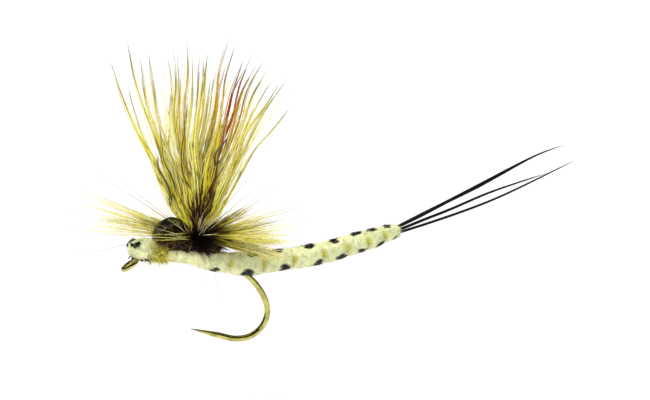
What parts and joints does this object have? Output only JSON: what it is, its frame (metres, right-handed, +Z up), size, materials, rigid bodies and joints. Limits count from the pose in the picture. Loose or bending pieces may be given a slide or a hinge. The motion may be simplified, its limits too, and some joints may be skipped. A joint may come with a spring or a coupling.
{
  "type": "dry fly",
  "caption": "Extended-body mayfly dry fly: barbless hook with turned-down eye, felt body, upright fibre wing, parachute hackle, dark wing case and long tail fibres.",
  "frame": {"origin": "middle of the hook's eye, in the plane that the shank and the body lie in", "axes": "+X from the eye towards the tails, +Y across the fly to its right-hand side, +Z up towards the wing tips"},
  "size_m": [0.0492, 0.0247, 0.0302],
  "materials": {
    "hook_bronze": "bronzed carbon steel wire, polished, near black at its edges",
    "body_felt": "fuzzy cream felt, greenish white, with black and ochre marker spots",
    "cream_thread": "waxed tying thread",
    "black_thread": "waxed tying thread",
    "eye_ink": "thick black ink on felt",
    "olive_dubbing": "loose yellow olive fur",
    "brown_dubbing": "loose dark brown fur",
    "wing_case_film": "glossy black strip with fine lengthwise fibres",
    "wing_hair": "dyed golden olive hair, dark tips",
    "wing_hair_rust": "dyed rusty orange hair, near black tips",
    "hackle_golden": "golden olive feather barbs, pale see-through tips",
    "hackle_grizzly": "barred feather barbs, black-brown at the root",
    "tail_fibre": "stiff glossy black hair",
    "core_filament": "clear nylon monofilament"
  },
  "bodies": {
    "root": {"hook": "hook_bronze", "whip_finish": "black_thread", "shank_thread": "cream_thread", "neck_thread": "black_thread", "head_felt": "body_felt", "eye_left": "eye_ink", "eye_right": "eye_ink", "neck_dubbing": "olive_dubbing", "body_felt_front": "body_felt", "core_filament_front": "core_filament", "rib_thread_1": "cream_thread", "rib_thread_2": "cream_thread", "thorax_dubbing": "brown_dubbing", "wing_case": "wing_case_film", "wing_post": "wing_hair", "post_thread": "black_thread", "hackle_golden": "hackle_golden", "hackle_grizzly": "hackle_grizzly"},
    "abdomen": {"body_felt_rear": "body_felt", "core_filament_rear": "core_filament", "tail_thread": "black_thread", "rib_thread_3": "cream_thread", "rib_thread_4": "cream_thread", "rib_thread_5": "cream_thread", "rib_thread_6": "cream_thread", "rib_thread_7": "cream_thread"},
    "tails": {"tail_upper": "tail_fibre", "tail_middle": "tail_fibre", "tail_lower": "tail_fibre"},
    "wing": {"wing_fibres_01": "wing_hair", "wing_fibres_02": "wing_hair", "wing_fibres_03": "wing_hair", "wing_fibres_04": "wing_hair", "wing_fibres_05": "wing_hair", "wing_fibres_06": "wing_hair", "wing_fibres_07": "wing_hair", "wing_fibres_08": "wing_hair", "wing_fibres_09": "wing_hair", "wing_fibres_10": "wing_hair_rust", "wing_fibres_11": "wing_hair_rust", "wing_fibres_12": "wing_hair", "wing_fibres_13": "wing_hair", "wing_fibres_14": "wing_hair"}
  },
  "joints": [
    {"name": "abdomen_flex", "type": "hinge", "parent": "root", "child": "abdomen", "pos_m": [0.01455, 0, -0.00002], "axis": [0, 1, 0], "range_deg": [-15, 15], "stiffness_Nm_per_rad": 0.0002},
    {"name": "tails_flex", "type": "hinge", "parent": "abdomen", "child": "tails", "pos_m": [0.0281, 0, 0.00295], "axis": [0, 1, 0], "range_deg": [-8, 8], "stiffness_Nm_per_rad": 0.000006},
    {"name": "wing_flex", "type": "hinge", "parent": "root", "child": "wing", "pos_m": [0.0068, 0, 0.00305], "axis": [0, 1, 0], "range_deg": [-8, 15], "stiffness_Nm_per_rad": 0.0001}
  ]
}
